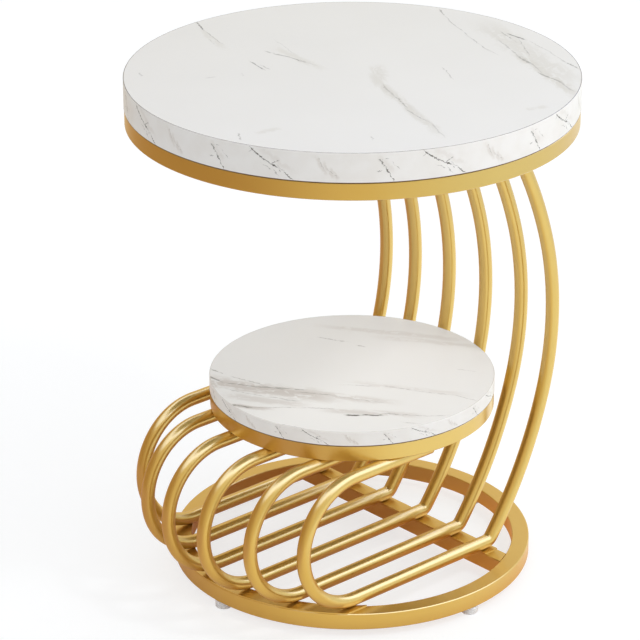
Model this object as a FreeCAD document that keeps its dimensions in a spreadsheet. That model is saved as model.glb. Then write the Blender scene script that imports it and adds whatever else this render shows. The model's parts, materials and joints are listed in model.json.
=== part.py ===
import FreeCAD, Part
import os
import Sketcher

# Tiered side table: a round top and a smaller round shelf on six bent tubes.
# The origin is on the floor under the middle of the top, +Z is up, and the loops face -Y.

TUBE_COUNT = 6
FOOT_COUNT = 4
TOP_TAB_COUNT = 6
FULL_TURN = 360

# Driving dimensions, in millimetres and degrees.
SIZES = {
    # Boards
    "table_height": 610,
    "top_diameter": 520,
    "top_board_thickness": 34.5,
    "shelf_diameter": 336,
    "shelf_board_thickness": 18,
    "laminate_thickness": 0.7,
    "edge_band_thickness": 1,
    "edge_softening": 0.4,
    # Square tube of the rings and crossbars
    "frame_bar": 20,
    "shelf_bar": 19,
    "bar_wall": 1.5,
    "bar_corner": 0.8,
    "base_ring_diameter": 425,
    "ring_setback": 0.5,
    "weld_gap": 0.1,
    # Round tube and the loops in front
    "tube_diameter": 16,
    "tube_wall": 1.2,
    "loop_bend_radius": 77.5,
    "loop_circle_radius": 210,
    "loop_circle_setback": 27.4,
    "loop_step_angle": 17.1,
    "run_end_setback": 9,
    "plug_thickness": 1.5,
    "plug_depth": 8,
    "plug_clearance": 0.1,
    # Bow of the uprights behind
    "bow_gap": 12.8,
    "apex_lift": 7.8,
    "knee_rise": 104,
    "middle_bend_radius": 360,
    "end_bend_radius": 505,
    "elbow_radius": 12,
    # Thin strips between the tubes and the base
    "strip_thickness": 1.2,
    "strip_margin": 2.5,
    # Tabs and screws that hold the boards
    "tab_length": 26,
    "tab_width": 30,
    "tab_thickness": 2,
    "tab_hole_inset": 13,
    "shelf_tab_angle": 63,
    "screw_diameter": 4,
    "screw_head_diameter": 8,
    "screw_head_height": 2.4,
    "screw_hole_clearance": 0.25,
    "thread_clearance": 0.05,
    "top_screw_depth": 22,
    "shelf_screw_depth": 12,
    "pilot_spare_depth": 2,
    # Screw feet
    "foot_height": 9.5,
    "foot_diameter": 20,
    "foot_softening": 1,
    "foot_floor": 1.5,
    "key_hole_diameter": 7,
    "stud_diameter": 6,
    "stud_length": 15.5,
    "stud_head_diameter": 11,
    "stud_head_height": 3,
    "stud_tip_chamfer": 0.6,
    "stud_key_size": 4,
    "stud_key_depth": 2,
    "running_clearance": 0.05,
    "head_play": 0.1,
    "insert_diameter": 9,
    "insert_length": 11,
    "insert_flange_diameter": 12,
    "insert_flange_thickness": 0.8,
    "insert_clearance": 0.05,
}

# Places and heights that follow from the driving dimensions.
LAYOUT = {
    "top_board_bottom": "sizes.table_height - sizes.top_board_thickness",
    "top_ring_bottom": "layout.top_board_bottom - sizes.frame_bar",
    "top_ring_radius": "sizes.top_diameter / 2 - sizes.ring_setback",
    "top_ring_inside": "layout.top_ring_radius - sizes.frame_bar",
    "base_ring_radius": "sizes.base_ring_diameter / 2",
    "base_ring_inside": "layout.base_ring_radius - sizes.frame_bar",
    "base_ring_top": "sizes.foot_height + sizes.frame_bar",
    "foot_circle": "layout.base_ring_radius - sizes.frame_bar / 2",
    "tube_radius": "sizes.tube_diameter / 2",
    "tube_bore": "layout.tube_radius - sizes.tube_wall",
    "run_height": "layout.base_ring_top + sizes.strip_thickness + layout.tube_radius",
    "shelf_run_height": "layout.run_height + 2 * sizes.loop_bend_radius",
    "shelf_ring_bottom": "layout.shelf_run_height + layout.tube_radius",
    "shelf_ring_radius": "sizes.shelf_diameter / 2 - sizes.ring_setback",
    "shelf_ring_inside": "layout.shelf_ring_radius - sizes.shelf_bar",
    "shelf_board_bottom": "layout.shelf_ring_bottom + sizes.shelf_bar",
    "shelf_bar_place": "-sizes.run_end_setback - sizes.shelf_bar / 2",
    "run_end_place": "-sizes.run_end_setback - sizes.plug_thickness",
    # The bow is a middle arc between two knees, and a flatter arc beyond each knee.
    "apex_reach": "sizes.shelf_diameter / 2 + sizes.bow_gap + layout.tube_radius",
    "apex_rise": "(layout.top_ring_bottom - layout.run_height) / 2 + sizes.apex_lift",
    "apex_height": "layout.run_height + layout.apex_rise",
    "knee_sine": "sizes.knee_rise / sizes.middle_bend_radius",
    "knee_cosine": "sqrt(1 - layout.knee_sine ^ 2)",
    "knee_place": "layout.apex_reach - sizes.middle_bend_radius * (1 - layout.knee_cosine)",
    # Without its elbow, the flatter arc would meet the loops' bottom runs at this corner.
    "corner_sine": "layout.knee_sine + (layout.apex_rise - sizes.knee_rise) / sizes.end_bend_radius",
    "corner_cosine": "sqrt(1 - layout.corner_sine ^ 2)",
    "corner_place": "layout.knee_place - sizes.end_bend_radius * (layout.knee_cosine - layout.corner_cosine)",
    "corner_slope": "(1 - layout.corner_sine) / layout.corner_cosine",
    # The elbow touches the bottom run and, at its upper end, the flatter arc.
    "flat_arc_place": "layout.knee_place - sizes.end_bend_radius * layout.knee_cosine",
    "flat_arc_height": "layout.apex_height - sizes.knee_rise + sizes.end_bend_radius * layout.knee_sine",
    "elbow_spread": "sizes.end_bend_radius - sizes.elbow_radius",
    "elbow_sine": "(layout.flat_arc_height - layout.run_height - sizes.elbow_radius) / layout.elbow_spread",
    "elbow_cosine": "sqrt(1 - layout.elbow_sine ^ 2)",
    "elbow_place": "layout.flat_arc_place + layout.elbow_spread * layout.elbow_cosine",
    "elbow_top": "layout.flat_arc_height - sizes.end_bend_radius * layout.elbow_sine",
    "head_rise": "layout.top_ring_bottom - layout.apex_height",
    "head_sine": "layout.knee_sine + (layout.head_rise - sizes.knee_rise) / sizes.end_bend_radius",
    "head_cosine": "sqrt(1 - layout.head_sine ^ 2)",
    "head_place": "layout.knee_place - sizes.end_bend_radius * (layout.knee_cosine - layout.head_cosine)",
    "rear_bar_place": "layout.corner_place + layout.tube_radius * layout.corner_slope - sizes.frame_bar / 2",
    "strip_end": "sizes.loop_circle_radius * sin(sizes.loop_step_angle * (tube_count - 1) / 2)"
                 " + layout.tube_radius + sizes.strip_margin",
    # Heights inside a foot
    "pad_height": "sizes.foot_height - sizes.insert_flange_thickness",
    "head_seat_top": "sizes.foot_floor + sizes.stud_head_height + sizes.head_play",
    "stud_top": "sizes.foot_floor + sizes.stud_head_height + sizes.stud_length",
}

doc = FreeCAD.newDocument("tiered_side_table")
sizes = doc.addObject("Spreadsheet::Sheet", "sizes")
for row, (alias, amount) in enumerate(SIZES.items(), start=1):
    sizes.set(f"A{row}", alias.replace("_", " "))
    sizes.set(f"B{row}", str(amount))
    sizes.setAlias(f"B{row}", alias)
doc.recompute()

layout = doc.addObject("App::VarSet", "layout")
for name, formula in LAYOUT.items():
    layout.addProperty("App::PropertyFloat", name, "Layout")
    layout.setExpression(name, formula.replace("tube_count", str(TUBE_COUNT)))
doc.recompute()

pieces = []


def amount_of(formula):
    """The number that a formula of the sheet gives now."""
    return float(layout.evalExpression(formula))


def new_piece(label):
    """A sub-part of the table, which is written to its own file."""
    piece = doc.addObject("PartDesign::Body", label)
    piece.Label = label
    pieces.append(piece)
    return piece


def new_sketch(piece, name, role, lift=None):
    """A sketch on one of the piece's own origin planes, lifted along the plane's normal."""
    sketch = piece.newObject("Sketcher::SketchObject", f"{piece.Label}_{name}")
    plane = next(feature for feature in piece.Origin.OriginFeatures if feature.Role == role)
    sketch.AttachmentSupport = [(plane, "")]
    sketch.MapMode = "FlatFace"
    if lift:
        sketch.setExpression("AttachmentOffset.Base.z", lift)
    return sketch


def bind(sketch, constraint, formula):
    """A constraint whose amount is a formula of the sheet."""
    index = sketch.addConstraint(constraint)
    sketch.setExpression(f"Constraints[{index}]", formula)


def pin(sketch, shape, point, across, along):
    """Holds a point of a sketch at two formulas, or on an axis where the formula is 0."""
    for kind, axis, formula in (("DistanceX", -2, across), ("DistanceY", -1, along)):
        if formula == "0":
            sketch.addConstraint(Sketcher.Constraint("PointOnObject", shape, point, axis))
        elif formula:
            constraint = Sketcher.Constraint(kind, -1, 1, shape, point, amount_of(formula))
            bind(sketch, constraint, formula)


def draw_outline(sketch, corners):
    """A closed outline of straight lines through corners given as pairs of formulas."""
    points = [FreeCAD.Vector(amount_of(across), amount_of(along), 0) for across, along in corners]
    following = points[1:] + points[:1]
    lines = [sketch.addGeometry(Part.LineSegment(a, b)) for a, b in zip(points, following)]
    for line, after in zip(lines, lines[1:] + lines[:1]):
        sketch.addConstraint(Sketcher.Constraint("Coincident", line, 2, after, 1))
    for line, (across, along) in zip(lines, corners):
        pin(sketch, line, 1, across, along)


def draw_circle(sketch, radius, across="0", along="0"):
    """A circle whose radius and middle are formulas."""
    middle = FreeCAD.Vector(amount_of(across), amount_of(along), 0)
    circle = sketch.addGeometry(Part.Circle(middle, FreeCAD.Vector(0, 0, 1), amount_of(radius)))
    pin(sketch, circle, 3, across, along)
    bind(sketch, Sketcher.Constraint("Radius", circle, amount_of(radius)), radius)


def draw_square_tube(sketch, across, along, side):
    """The section of a square tube: an outline with eased corners round a square bore."""
    half = f"({side}) / 2"
    eased = f"(({side}) / 2 - sizes.bar_corner)"
    bore = f"(({side}) / 2 - sizes.bar_wall)"
    turns = ((half, eased), (eased, half), (f"-{eased}", half), (f"-{half}", eased),
             (f"-{half}", f"-{eased}"), (f"-{eased}", f"-{half}"), (eased, f"-{half}"), (half, f"-{eased}"))
    draw_outline(sketch, [(f"{across} + {x}", f"{along} + {z}") for x, z in turns])
    corners = ((bore, bore), (f"-{bore}", bore), (f"-{bore}", f"-{bore}"), (bore, f"-{bore}"))
    draw_outline(sketch, [(f"{across} + {x}", f"{along} + {z}") for x, z in corners])


def pad(piece, sketch, length, reverse=False, both_ways=False):
    """Thickens a sketch by a formula."""
    made = piece.newObject("PartDesign::Pad", f"{sketch.Name}_pad")
    made.Profile = sketch
    made.setExpression("Length", length)
    made.Reversed = reverse
    if both_ways:
        made.SideType = "Symmetric"
    return made


def pocket(piece, sketch, length=None, reverse=False):
    """Cuts a sketch to a depth, or right through both ways where no depth is given."""
    made = piece.newObject("PartDesign::Pocket", f"{sketch.Name}_cut")
    made.Profile = sketch
    if length:
        made.setExpression("Length", length)
        made.Reversed = reverse
    else:
        made.Type = "ThroughAll"
        made.SideType = "Symmetric"
    return made


def revolve(piece, sketch):
    """Turns a sketch on the XZ plane once round the vertical axis."""
    made = piece.newObject("PartDesign::Revolution", f"{sketch.Name}_turn")
    made.Profile = sketch
    made.ReferenceAxis = (sketch, ["V_Axis"])
    made.Angle = FULL_TURN
    return made


def sweep(piece, section, path):
    """Draws a section along all the edges of a path sketch."""
    doc.recompute()
    made = piece.newObject("PartDesign::AdditivePipe", f"{path.Name}_pipe")
    made.Profile = section
    made.Spine = (path, [f"Edge{n}" for n in range(1, path.GeometryCount + 1)])
    return made


def on_circle(radius, angle):
    """A pair of formulas for a point at an angle on a circle about the table's axis."""
    return f"({radius}) * cos({angle})", f"({radius}) * sin({angle})"


def even_angles(count):
    """Angles that share a full turn, from the X axis on."""
    return [str(FULL_TURN * n / count) for n in range(count)]


# The four shelf tabs mirror each other across both axes, clear of the tubes below them.
SHELF_TAB_ANGLES = ["sizes.shelf_tab_angle", "180 - sizes.shelf_tab_angle",
                    "180 + sizes.shelf_tab_angle", "-sizes.shelf_tab_angle"]
TOP_TAB_ANGLES = even_angles(TOP_TAB_COUNT)


def screw_places(inside, angles):
    """Where the board screws stand, a set distance in from a ring's inner wall."""
    return [on_circle(f"{inside} - sizes.tab_hole_inset", angle) for angle in angles]


def make_board(tier, diameter, thickness, bottom, places, depth):
    """A board: core, printed face, balancing sheet and edge band."""
    core_radius = f"{diameter} / 2 - sizes.edge_band_thickness"
    face_bottom = f"{bottom} + {thickness} - sizes.laminate_thickness"
    core_bottom = f"{bottom} + sizes.laminate_thickness"

    core = new_piece(f"{tier}_board_core")
    disc = new_sketch(core, "disc", "XY_Plane", core_bottom)
    draw_circle(disc, core_radius)
    pad(core, disc, f"{thickness} - 2 * sizes.laminate_thickness")
    pilots = new_sketch(core, "pilots", "XY_Plane", core_bottom)
    for across, along in places:
        draw_circle(pilots, "sizes.screw_diameter / 2 + sizes.thread_clearance", across, along)
    pocket(core, pilots, f"{depth} + sizes.pilot_spare_depth - sizes.laminate_thickness", reverse=True)

    face = new_piece(f"{tier}_board_face")
    disc = new_sketch(face, "disc", "XY_Plane", face_bottom)
    draw_circle(disc, core_radius)
    pad(face, disc, "sizes.laminate_thickness")

    sheet = new_piece(f"{tier}_board_backing")
    disc = new_sketch(sheet, "disc", "XY_Plane", bottom)
    draw_circle(disc, core_radius)
    for across, along in places:
        draw_circle(disc, "sizes.screw_diameter / 2 + sizes.thread_clearance", across, along)
    pad(sheet, disc, "sizes.laminate_thickness")

    band = new_piece(f"{tier}_edge_band")
    strip = new_sketch(band, "section", "XZ_Plane")
    rim = f"{diameter} / 2"
    eased = f"{diameter} / 2 - sizes.edge_softening"
    top = f"{bottom} + {thickness}"
    draw_outline(strip, [
        (core_radius, bottom),
        (eased, bottom),
        (rim, f"{bottom} + sizes.edge_softening"),
        (rim, f"{top} - sizes.edge_softening"),
        (eased, top),
        (core_radius, top),
    ])
    revolve(band, strip)


def make_ring(label, radius, bottom, side):
    """A closed ring of square tube with a flat bottom at the given height."""
    ring = new_piece(label)
    section = new_sketch(ring, "section", "XZ_Plane")
    draw_square_tube(section, f"{radius} - {side} / 2", f"{bottom} + {side} / 2", side)
    revolve(ring, section)
    return ring


def make_crossbar(label, place, bottom, side, inside):
    """A square tube along X, coped at both ends to a ring's inner wall."""
    bar = new_piece(label)
    section = new_sketch(bar, "section", "YZ_Plane")
    draw_square_tube(section, place, f"{bottom} + {side} / 2", side)
    pad(bar, section, f"2 * {inside}", both_ways=True)
    cope = new_sketch(bar, "cope", "XY_Plane")
    draw_circle(cope, f"{inside} - sizes.weld_gap")
    draw_circle(cope, f"2 * {inside}")
    pocket(bar, cope)


def make_tabs(label, inside, board_bottom, angles):
    """Flat tabs on a ring's inner wall, level with its top, each with one screw hole."""
    tabs = new_piece(label)
    plates = new_sketch(tabs, "plates", "XY_Plane", board_bottom)
    half = "sizes.tab_width / 2"
    outer = f"(sqrt(({inside} - sizes.weld_gap) ^ 2 - ({half}) ^ 2))"
    inner = f"({inside} - sizes.tab_length)"
    for angle in angles:
        corners = ((inner, f"-{half}"), (outer, f"-{half}"), (outer, half), (inner, half))
        draw_outline(plates, [
            (f"{out} * cos({angle}) - ({side}) * sin({angle})",
             f"{out} * sin({angle}) + ({side}) * cos({angle})")
            for out, side in corners
        ])
    for across, along in screw_places(inside, angles):
        draw_circle(plates, "sizes.screw_diameter / 2 + sizes.screw_hole_clearance", across, along)
    pad(tabs, plates, "sizes.tab_thickness", reverse=True)


def make_screws(label, places, board_bottom, depth):
    """Flat-headed screws that stand up through the tabs into a board."""
    screws = new_piece(label)
    seat = f"{board_bottom} - sizes.tab_thickness"
    heads = new_sketch(screws, "heads", "XY_Plane", seat)
    shanks = new_sketch(screws, "shanks", "XY_Plane", seat)
    for across, along in places:
        draw_circle(heads, "sizes.screw_head_diameter / 2", across, along)
        draw_circle(shanks, "sizes.screw_diameter / 2", across, along)
    pad(screws, heads, "sizes.screw_head_height", reverse=True)
    pad(screws, shanks, f"sizes.tab_thickness + {depth}")


def tube_steps():
    """Each tube's place in the fan, in steps from its middle."""
    return [n - (TUBE_COUNT - 1) / 2 for n in range(TUBE_COUNT)]


def tube_across(step):
    """How far a tube stands from the table's middle plane."""
    return f"sizes.loop_circle_radius * sin(sizes.loop_step_angle * {step})"


def make_loop(label, step):
    """A hairpin of tube: a run along the base, a half circle in front and a run under the shelf."""
    loop = new_piece(label)
    bend = f"sizes.loop_circle_setback - sizes.loop_circle_radius * cos(sizes.loop_step_angle * {step})"
    start = "layout.elbow_place"

    section = new_sketch(loop, "section", "XZ_Plane", f"-({start})")
    draw_circle(section, "layout.tube_radius", "0", "layout.run_height")
    draw_circle(section, "layout.tube_bore", "0", "layout.run_height")

    path = new_sketch(loop, "path", "YZ_Plane")
    low, high = amount_of("layout.run_height"), amount_of("layout.shelf_run_height")
    turn = FreeCAD.Vector(amount_of(bend), (low + high) / 2, 0)
    below = FreeCAD.Vector(turn.x, low, 0)
    above = FreeCAD.Vector(turn.x, high, 0)
    front = FreeCAD.Vector(turn.x - (high - low) / 2, turn.y, 0)
    end = FreeCAD.Vector(amount_of("layout.run_end_place"), high, 0)
    run = path.addGeometry(Part.LineSegment(FreeCAD.Vector(amount_of(start), low, 0), below))
    arc = path.addGeometry(Part.Arc(above, front, below))
    upper = path.addGeometry(Part.LineSegment(above, end))
    path.addConstraint(Sketcher.Constraint("Tangent", run, 2, arc, 2))
    path.addConstraint(Sketcher.Constraint("Tangent", arc, 1, upper, 1))
    path.addConstraint(Sketcher.Constraint("Horizontal", run))
    path.addConstraint(Sketcher.Constraint("Horizontal", upper))
    pin(path, run, 1, start, "layout.run_height")
    pin(path, arc, 3, bend, None)
    pin(path, upper, 2, "layout.run_end_place", None)
    radius = "sizes.loop_bend_radius"
    bind(path, Sketcher.Constraint("Radius", arc, amount_of(radius)), radius)
    sweep(loop, section, path)
    loop.setExpression("Placement.Base.x", tube_across(step))


def draw_half_bow(sketch, end, sign):
    """Half of an upright's bow: the middle arc from its apex to a knee, then the flatter arc."""
    reach, apex = amount_of("layout.apex_reach"), amount_of("layout.apex_height")
    near, far = amount_of("sizes.middle_bend_radius"), amount_of("sizes.end_bend_radius")
    knee_sine, knee_cosine = amount_of("layout.knee_sine"), amount_of("layout.knee_cosine")
    end_sine = knee_sine + (abs(amount_of(end) - apex) - amount_of("sizes.knee_rise")) / far
    half_sine = (knee_sine + end_sine) / 2

    def on_arc(radius, middle, sine):
        cosine = (1 - sine ** 2) ** 0.5
        return FreeCAD.Vector(middle[0] + radius * cosine, middle[1] + sign * radius * sine, 0)

    near_middle = (reach - near, apex)
    far_middle = (near_middle[0] + (near - far) * knee_cosine, apex + sign * (near - far) * knee_sine)
    arcs = []
    for radius, middle, sines in ((near, near_middle, (0, knee_sine / 2, knee_sine)),
                                  (far, far_middle, (knee_sine, half_sine, end_sine))):
        points = [on_arc(radius, middle, sine) for sine in sines]
        arcs.append(sketch.addGeometry(Part.Arc(*points)))
    inner, outer = (1, 2) if sign > 0 else (2, 1)
    pin(sketch, arcs[0], 3, "layout.apex_reach - sizes.middle_bend_radius", "layout.apex_height")
    bind(sketch, Sketcher.Constraint("Radius", arcs[0], near), "sizes.middle_bend_radius")
    pin(sketch, arcs[0], inner, None, "layout.apex_height")
    knee = "layout.apex_height + sizes.knee_rise" if sign > 0 else "layout.apex_height - sizes.knee_rise"
    pin(sketch, arcs[0], outer, None, knee)
    sketch.addConstraint(Sketcher.Constraint("Tangent", arcs[0], outer, arcs[1], inner))
    bind(sketch, Sketcher.Constraint("Radius", arcs[1], far), "sizes.end_bend_radius")
    pin(sketch, arcs[1], outer, None, end)
    return arcs[1]


def draw_elbow(sketch, leg):
    """The tight turn from the foot of an upright into the back end of a loop's bottom run."""
    radius = amount_of("sizes.elbow_radius")
    middle = FreeCAD.Vector(amount_of("layout.elbow_place"), amount_of("layout.run_height") + radius, 0)
    down = FreeCAD.Vector(0, -1, 0)
    back = FreeCAD.Vector(amount_of("layout.elbow_cosine"), -amount_of("layout.elbow_sine"), 0)
    between = (down + back) * (1 / (down + back).Length)
    elbow = sketch.addGeometry(Part.Arc(*(middle + way * radius for way in (down, between, back))))
    sketch.addConstraint(Sketcher.Constraint("Tangent", leg, 1, elbow, 2))
    bind(sketch, Sketcher.Constraint("Radius", elbow, radius), "sizes.elbow_radius")
    pin(sketch, elbow, 1, "layout.elbow_place", None)


def make_upright(label, step):
    """A bowed tube from its elbow behind the base up to the bar under the top."""
    upright = new_piece(label)
    section = new_sketch(upright, "section", "XY_Plane", "layout.apex_height")
    draw_circle(section, "layout.tube_radius", "0", "layout.apex_reach")
    draw_circle(section, "layout.tube_bore", "0", "layout.apex_reach")
    rise = new_sketch(upright, "rise", "YZ_Plane")
    draw_half_bow(rise, "layout.top_ring_bottom + sizes.tube_diameter", 1)
    sweep(upright, section, rise)
    fall = new_sketch(upright, "fall", "YZ_Plane")
    draw_elbow(fall, draw_half_bow(fall, "layout.elbow_top", -1))
    sweep(upright, section, fall)

    head = new_sketch(upright, "head", "YZ_Plane")
    ahead, behind = (f"layout.head_place {side} 3 * sizes.tube_diameter" for side in "-+")
    over = "layout.top_ring_bottom + 3 * sizes.tube_diameter"
    flush = "layout.top_ring_bottom"
    draw_outline(head, [(ahead, flush), (behind, flush), (behind, over), (ahead, over)])
    pocket(upright, head)
    upright.setExpression("Placement.Base.x", tube_across(step))


def make_plugs(label):
    """Plugs in the open back ends of the loops' upper runs."""
    plugs = new_piece(label)
    caps = new_sketch(plugs, "caps", "XZ_Plane", "-layout.run_end_place")
    spigots = new_sketch(plugs, "spigots", "XZ_Plane", "-layout.run_end_place")
    for step in tube_steps():
        draw_circle(caps, "layout.tube_radius", tube_across(step), "layout.shelf_run_height")
        inside = "layout.tube_bore - sizes.plug_clearance"
        draw_circle(spigots, inside, tube_across(step), "layout.shelf_run_height")
    pad(plugs, caps, "sizes.plug_thickness", reverse=True)
    pad(plugs, spigots, "sizes.plug_depth")


def make_front_strip(label):
    """A thin arc of strip on the front of the base ring, squared off beside the outer loops."""
    strip = new_piece(label)
    arc = new_sketch(strip, "arc", "XY_Plane", "layout.base_ring_top")
    draw_circle(arc, "layout.base_ring_radius")
    draw_circle(arc, "layout.base_ring_inside")
    pad(strip, arc, "sizes.strip_thickness")
    clear = "layout.base_ring_radius + sizes.frame_bar"
    trim = new_sketch(strip, "trim", "XY_Plane", "layout.base_ring_top")
    draw_outline(trim, [
        (f"-({clear})", f"-({clear})"),
        ("-layout.strip_end", f"-({clear})"),
        ("-layout.strip_end", "0"),
        ("layout.strip_end", "0"),
        ("layout.strip_end", f"-({clear})"),
        (clear, f"-({clear})"),
        (clear, clear),
        (f"-({clear})", clear),
    ])
    pocket(strip, trim)


def make_rear_strip(label):
    """A thin strip on the rear bar, as long as the row of tubes."""
    strip = new_piece(label)
    flat = new_sketch(strip, "flat", "XY_Plane", "layout.base_ring_top")
    front, back = (f"layout.rear_bar_place {side} sizes.frame_bar / 2" for side in "-+")
    end = "layout.strip_end"
    draw_outline(flat, [(f"-{end}", front), (end, front), (end, back), (f"-{end}", back)])
    pad(strip, flat, "sizes.strip_thickness")


def drill_base_ring(ring):
    """Holes up through the base ring's lower wall for the threaded inserts."""
    holes = new_sketch(ring, "holes", "XY_Plane", "sizes.foot_height")
    radius = "sizes.insert_diameter / 2 + sizes.insert_clearance"
    for angle in even_angles(FOOT_COUNT):
        draw_circle(holes, radius, *on_circle("layout.foot_circle", angle))
    pocket(ring, holes, "2 * sizes.bar_wall", reverse=True)


def make_inserts(label):
    """Threaded inserts in the base ring: a flange under the wall and a barrel above it."""
    inserts = new_piece(label)
    flanges = new_sketch(inserts, "flanges", "XY_Plane", "layout.pad_height")
    barrels = new_sketch(inserts, "barrels", "XY_Plane", "layout.pad_height")
    threads = new_sketch(inserts, "threads", "XY_Plane", "layout.pad_height")
    for angle in even_angles(FOOT_COUNT):
        place = on_circle("layout.foot_circle", angle)
        draw_circle(flanges, "sizes.insert_flange_diameter / 2", *place)
        draw_circle(barrels, "sizes.insert_diameter / 2", *place)
        draw_circle(threads, "sizes.stud_diameter / 2 + sizes.running_clearance", *place)
    pad(inserts, flanges, "sizes.insert_flange_thickness")
    pad(inserts, barrels, "sizes.insert_flange_thickness + sizes.insert_length")
    pocket(inserts, threads, "sizes.insert_flange_thickness + 2 * sizes.insert_length", reverse=True)


def stand_on_foot(piece, angle):
    """Moves a piece from the table's axis to a foot's place on the base ring."""
    across, along = on_circle("layout.foot_circle", angle)
    piece.setExpression("Placement.Base.x", across)
    piece.setExpression("Placement.Base.y", along)


def make_foot_pad(label, angle):
    """A clear plastic disc, hollow for the stud's head, with a key hole underneath."""
    foot = new_piece(label)
    section = new_sketch(foot, "section", "XZ_Plane")
    rim = "sizes.foot_diameter / 2"
    key = "sizes.key_hole_diameter / 2"
    shank = "sizes.stud_diameter / 2 + sizes.running_clearance"
    head = "sizes.stud_head_diameter / 2 + sizes.running_clearance"
    draw_outline(section, [
        (key, "0"),
        (f"{rim} - sizes.foot_softening", "0"),
        (rim, "sizes.foot_softening"),
        (rim, "layout.pad_height - sizes.foot_softening"),
        (f"{rim} - sizes.foot_softening", "layout.pad_height"),
        (shank, "layout.pad_height"),
        (shank, "layout.head_seat_top"),
        (head, "layout.head_seat_top"),
        (head, "sizes.foot_floor"),
        (key, "sizes.foot_floor"),
    ])
    revolve(foot, section)
    stand_on_foot(foot, angle)


def make_foot_stud(label, angle):
    """A threaded stud with a round head, turned by a hexagon key from below."""
    stud = new_piece(label)
    section = new_sketch(stud, "section", "XZ_Plane")
    shank, head = "sizes.stud_diameter / 2", "sizes.stud_head_diameter / 2"
    neck = "sizes.foot_floor + sizes.stud_head_height"
    draw_outline(section, [
        ("0", "sizes.foot_floor"),
        (head, "sizes.foot_floor"),
        (head, neck),
        (shank, neck),
        (shank, "layout.stud_top - sizes.stud_tip_chamfer"),
        (f"{shank} - sizes.stud_tip_chamfer", "layout.stud_top"),
        ("0", "layout.stud_top"),
    ])
    revolve(stud, section)
    socket = new_sketch(stud, "socket", "XY_Plane", "sizes.foot_floor")
    corner = "sizes.stud_key_size / sqrt(3)"
    draw_outline(socket, [on_circle(corner, f"60 * {n} + 30") for n in range(6)])
    pocket(stud, socket, "sizes.stud_key_depth", reverse=True)
    stand_on_foot(stud, angle)


# The top and the frame under it
top_screw_places = screw_places("layout.top_ring_inside", TOP_TAB_ANGLES)
make_board("top", "sizes.top_diameter", "sizes.top_board_thickness", "layout.top_board_bottom",
           top_screw_places, "sizes.top_screw_depth")
make_ring("top_ring", "layout.top_ring_radius", "layout.top_ring_bottom", "sizes.frame_bar")
make_crossbar("top_crossbar", "layout.head_place", "layout.top_ring_bottom", "sizes.frame_bar",
              "layout.top_ring_inside")
make_tabs("top_screw_tabs", "layout.top_ring_inside", "layout.top_board_bottom", TOP_TAB_ANGLES)
make_screws("top_screws", top_screw_places, "layout.top_board_bottom", "sizes.top_screw_depth")

# The shelf and the frame under it
shelf_screw_places = screw_places("layout.shelf_ring_inside", SHELF_TAB_ANGLES)
make_board("shelf", "sizes.shelf_diameter", "sizes.shelf_board_thickness", "layout.shelf_board_bottom",
           shelf_screw_places, "sizes.shelf_screw_depth")
make_ring("shelf_ring", "layout.shelf_ring_radius", "layout.shelf_ring_bottom", "sizes.shelf_bar")
make_crossbar("shelf_crossbar", "layout.shelf_bar_place", "layout.shelf_ring_bottom", "sizes.shelf_bar",
              "layout.shelf_ring_inside")
make_tabs("shelf_screw_tabs", "layout.shelf_ring_inside", "layout.shelf_board_bottom", SHELF_TAB_ANGLES)
make_screws("shelf_screws", shelf_screw_places, "layout.shelf_board_bottom", "sizes.shelf_screw_depth")

# The six tubes, each a loop in front and an upright behind
for number, step in enumerate(tube_steps(), start=1):
    make_loop(f"loop_{number}", step)
    make_upright(f"upright_{number}", step)
make_plugs("loop_end_plugs")

# The base and its feet
base_ring = make_ring("base_ring", "layout.base_ring_radius", "sizes.foot_height", "sizes.frame_bar")
drill_base_ring(base_ring)
make_crossbar("base_crossbar", "layout.rear_bar_place", "sizes.foot_height", "sizes.frame_bar",
              "layout.base_ring_inside")
make_front_strip("front_strip")
make_rear_strip("rear_strip")
make_inserts("foot_inserts")
for number, angle in enumerate(even_angles(FOOT_COUNT), start=1):
    make_foot_pad(f"foot_pad_{number}", angle)
    make_foot_stud(f"foot_stud_{number}", angle)

doc.recompute()
failed = [thing.Name for thing in doc.Objects if {"Invalid", "Error"} & set(thing.State)]
if failed:
    raise RuntimeError(f"these did not compute: {failed}")
for thing in doc.Objects:
    if thing.TypeId == "PartDesign::Pocket" and thing.Shape.Volume >= thing.BaseFeature.Shape.Volume:
        raise RuntimeError(f"{thing.Name} cuts nothing")
for piece in pieces:
    if piece.Shape.isNull() or not piece.Shape.isValid() or not piece.Shape.Solids:
        raise RuntimeError(f"{piece.Label} is not a sound solid")

os.makedirs("parts", exist_ok=True)
for piece in pieces:
    piece.Shape.exportStep(f"parts/{piece.Label}.step")
    print(f"{piece.Label}: {len(piece.Shape.Solids)} solid, {piece.Shape.Volume:.0f} mm3")
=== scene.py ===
# %% [markdown]
# # A tiered side table
# A thick marble-look top and a smaller shelf stand on six bent gold tubes, a ring base and four clear feet.
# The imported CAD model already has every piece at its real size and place, so this lesson is about the
# looks: a camera, plain light, a finish for each surface, and the small pieces that are finer than the
# solids.

# %% Load the frame
import json
import math

import bpy
from mathutils import Matrix, Vector


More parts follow.
